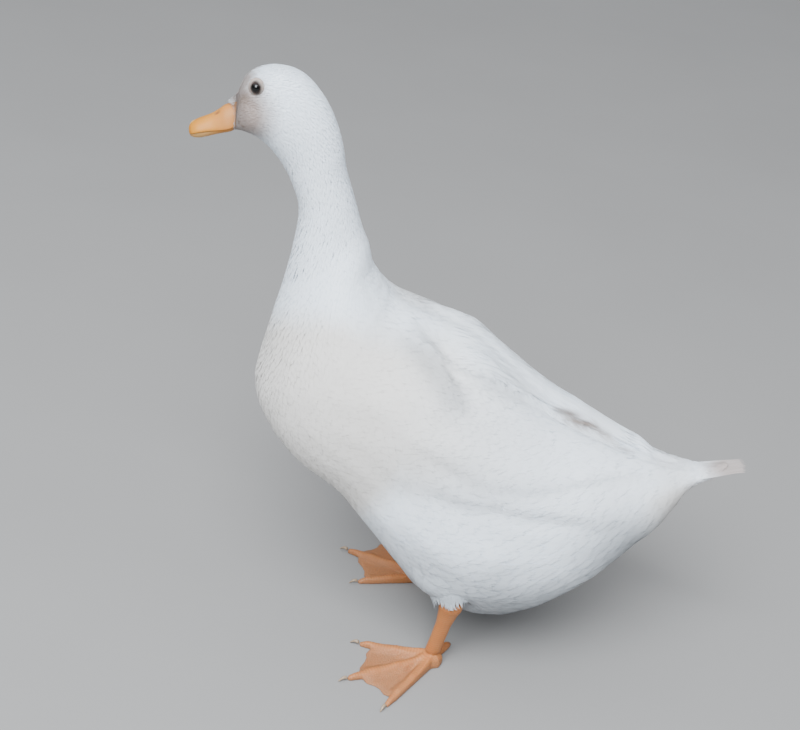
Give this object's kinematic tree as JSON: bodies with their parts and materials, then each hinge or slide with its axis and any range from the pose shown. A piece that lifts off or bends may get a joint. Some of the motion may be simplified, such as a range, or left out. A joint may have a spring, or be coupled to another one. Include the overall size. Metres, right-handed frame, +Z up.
{
  "type": "duck",
  "caption": "White domestic duck standing in mid step, neck upright, wings folded, short wedge of a tail and broad webbed feet flat on the floor.",
  "frame": {"origin": "on the floor, under the middle of the duck's bounding box", "axes": "+Z up, the duck faces -Y, and its left side is +X"},
  "size_m": [0.2368, 0.4534, 0.4576],
  "materials": {
    "plumage": "soft matt white feathers",
    "bill": "satin orange-yellow horn",
    "eye": "wet dark brown",
    "leg_skin": "scaly orange skin",
    "claw": "horn"
  },
  "bodies": {
    "root": {"head": "plumage", "neck": "plumage", "trunk": "plumage", "tail": "plumage", "wing_left": "plumage", "wing_right": "plumage", "thigh_left": "plumage", "thigh_right": "plumage", "bill_upper": "bill", "bill_lower": "bill", "eye_left": "eye", "eye_right": "eye", "shank_left": "leg_skin", "shank_right": "leg_skin", "foot_left": "leg_skin", "foot_right": "leg_skin", "hind_toe_left": "leg_skin", "hind_toe_right": "leg_skin", "claw_left_inner": "claw", "claw_left_middle": "claw", "claw_left_outer": "claw", "claw_right_inner": "claw", "claw_right_middle": "claw", "claw_right_outer": "claw"}
  },
  "joints": []
}
